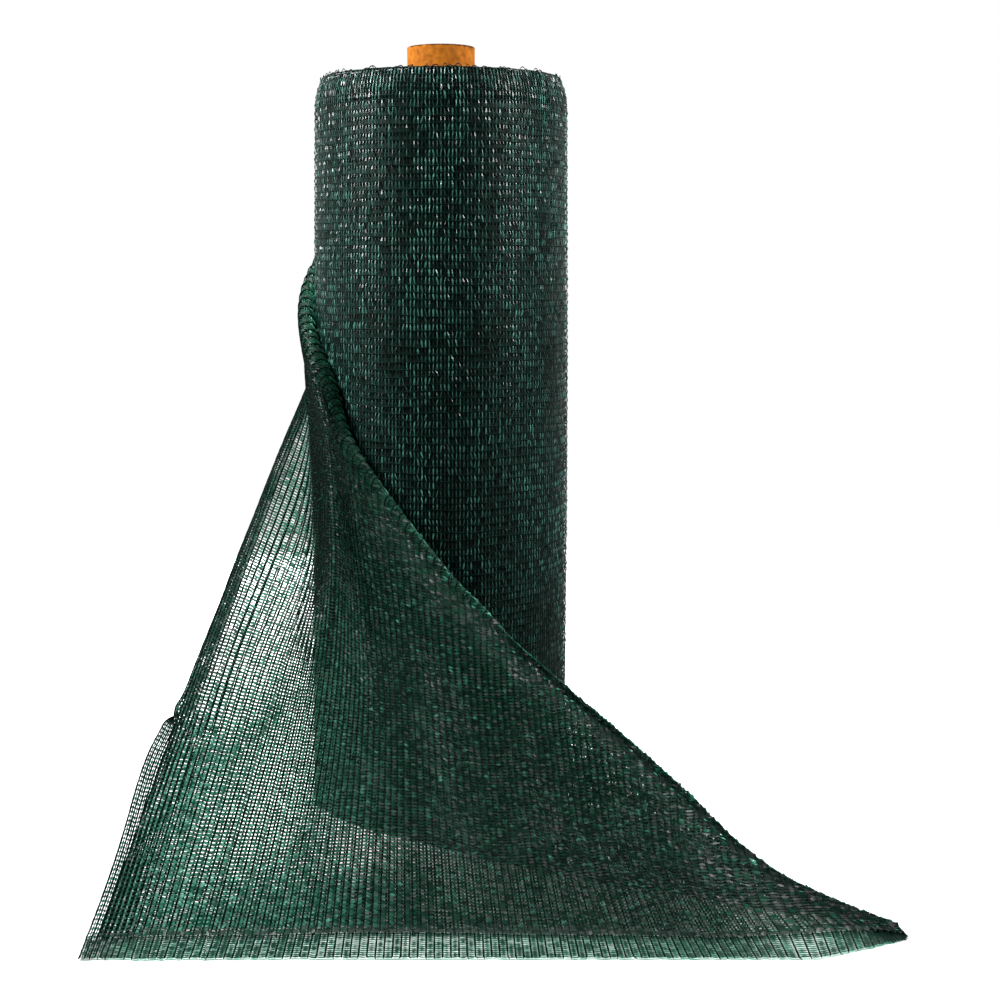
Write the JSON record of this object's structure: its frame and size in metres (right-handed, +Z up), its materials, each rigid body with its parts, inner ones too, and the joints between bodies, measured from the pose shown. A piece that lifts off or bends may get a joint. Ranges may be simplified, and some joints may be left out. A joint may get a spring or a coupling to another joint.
{
  "type": "roll of shade netting",
  "caption": "Upright roll of knitted shade net on a cardboard core, its loose outer turn folded over and spread on the ground in front.",
  "frame": {"origin": "on the ground, below the middle of the object's outer box", "axes": "+Z up along the roll, +Y to the back, away from the loose end, +X to the right as seen from the front"},
  "size_m": [0.914, 0.7494, 1.043],
  "materials": {
    "cardboard": "matt spirally wound cardboard",
    "wound_net": "dark green knitted plastic net, slightly glossy tapes",
    "loose_net": "dark green knitted plastic net, open and see-through, slightly glossy tapes"
  },
  "bodies": {
    "root": {"core_tube": "cardboard", "wound_roll": "wound_net", "loose_end": "loose_net"}
  },
  "joints": []
}
